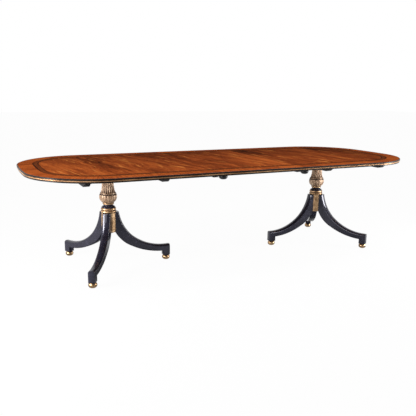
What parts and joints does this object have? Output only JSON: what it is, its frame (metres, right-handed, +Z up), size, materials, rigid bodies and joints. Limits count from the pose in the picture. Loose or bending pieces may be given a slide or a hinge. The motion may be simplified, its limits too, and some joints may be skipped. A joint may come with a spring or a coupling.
{
  "type": "double pedestal dining table",
  "caption": "Extending dining table on paired tripod pedestals: figured rounded-end top, black and gilt bases, and a lift-out leaf between halves that slide apart on lopers.",
  "frame": {"origin": "on the floor under the middle of the top", "axes": "+X along the length of the top, +Y across it towards the back, +Z up"},
  "size_m": [3.0476, 1.27, 0.762],
  "materials": {
    "mahogany_field": "high-gloss figured mahogany veneer",
    "mahogany_crossband": "high-gloss crossbanded mahogany veneer",
    "dark_inlay": "gloss rosewood-coloured inlay with dark stringing",
    "core_wood": "stained core and underside",
    "black_gilt_edge": "black lacquered edge moulding with a gilt bead",
    "under_wood": "dark stained hardwood",
    "antique_gilt": "gilded wood with antique wash",
    "carved_gilt": "carved gilded wood with dark wash in the cuts",
    "black_lacquer": "satin black lacquered wood with rubbed edges",
    "brass": "aged brass",
    "iron": "black iron plate",
    "steel": "plain steel",
    "black_metal": "black painted metal"
  },
  "bodies": {
    "leaf": {"leaf_catches": "black_metal", "leaf_core": "core_wood", "leaf_crossbands": "mahogany_crossband", "leaf_edge_mouldings": "black_gilt_edge", "leaf_field_veneer": "mahogany_field", "leaf_inlay_bands": "dark_inlay"},
    "left_half": {"left_ball_feet": "brass", "left_bearer_inner": "under_wood", "left_bearer_outer": "under_wood", "left_catches": "black_metal", "left_collar": "antique_gilt", "left_column_neck": "black_lacquer", "left_column_ring": "antique_gilt", "left_crossband": "mahogany_crossband", "left_edge_moulding": "black_gilt_edge", "left_field_veneer": "mahogany_field", "left_hub": "antique_gilt", "left_hub_plate": "iron", "left_inlay_band": "dark_inlay", "left_leg_back": "black_lacquer", "left_leg_front": "black_lacquer", "left_leg_inner": "black_lacquer", "left_loper_keepers": "under_wood", "left_tie_rod": "steel", "left_top_block": "under_wood", "left_top_core": "core_wood", "left_urn_bowl": "carved_gilt", "left_urn_neck": "carved_gilt", "lopers": "under_wood"},
    "left_lock_back": {"left_lock_back": "black_metal"},
    "left_lock_front": {"left_lock_front": "black_metal"},
    "right_half": {"right_ball_feet": "brass", "right_bearer_inner": "under_wood", "right_bearer_outer": "under_wood", "right_collar": "antique_gilt", "right_column_neck": "black_lacquer", "right_column_ring": "antique_gilt", "right_crossband": "mahogany_crossband", "right_edge_moulding": "black_gilt_edge", "right_field_veneer": "mahogany_field", "right_hub": "antique_gilt", "right_hub_plate": "iron", "right_inlay_band": "dark_inlay", "right_leg_back": "black_lacquer", "right_leg_front": "black_lacquer", "right_leg_inner": "black_lacquer", "right_loper_keepers": "under_wood", "right_tie_rod": "steel", "right_top_block": "under_wood", "right_top_core": "core_wood", "right_urn_bowl": "carved_gilt", "right_urn_neck": "carved_gilt"},
    "right_lock_back": {"right_lock_back": "black_metal"},
    "right_lock_front": {"right_lock_front": "black_metal"}
  },
  "joints": [
    {"name": "right_half_slide", "type": "slide", "parent": "left_half", "child": "right_half", "axis": [1, 0, 0], "range_m": [0, 0.3]},
    {"name": "leaf_lift", "type": "slide", "parent": "left_half", "child": "leaf", "axis": [0, 0, 1], "range_m": [0, 0.3]},
    {"name": "left_lock_front_turn", "type": "hinge", "parent": "leaf", "child": "left_lock_front", "pos_m": [-0.296, -0.585, 0.7346], "axis": [0, 0, 1], "range_deg": [0, 90]},
    {"name": "left_lock_back_turn", "type": "hinge", "parent": "leaf", "child": "left_lock_back", "pos_m": [-0.296, 0.585, 0.7346], "axis": [0, 0, 1], "range_deg": [-90, 0]},
    {"name": "right_lock_front_turn", "type": "hinge", "parent": "right_half", "child": "right_lock_front", "pos_m": [0.364, -0.585, 0.7346], "axis": [0, 0, 1], "range_deg": [0, 90]},
    {"name": "right_lock_back_turn", "type": "hinge", "parent": "right_half", "child": "right_lock_back", "pos_m": [0.364, 0.585, 0.7346], "axis": [0, 0, 1], "range_deg": [-90, 0]}
  ]
}
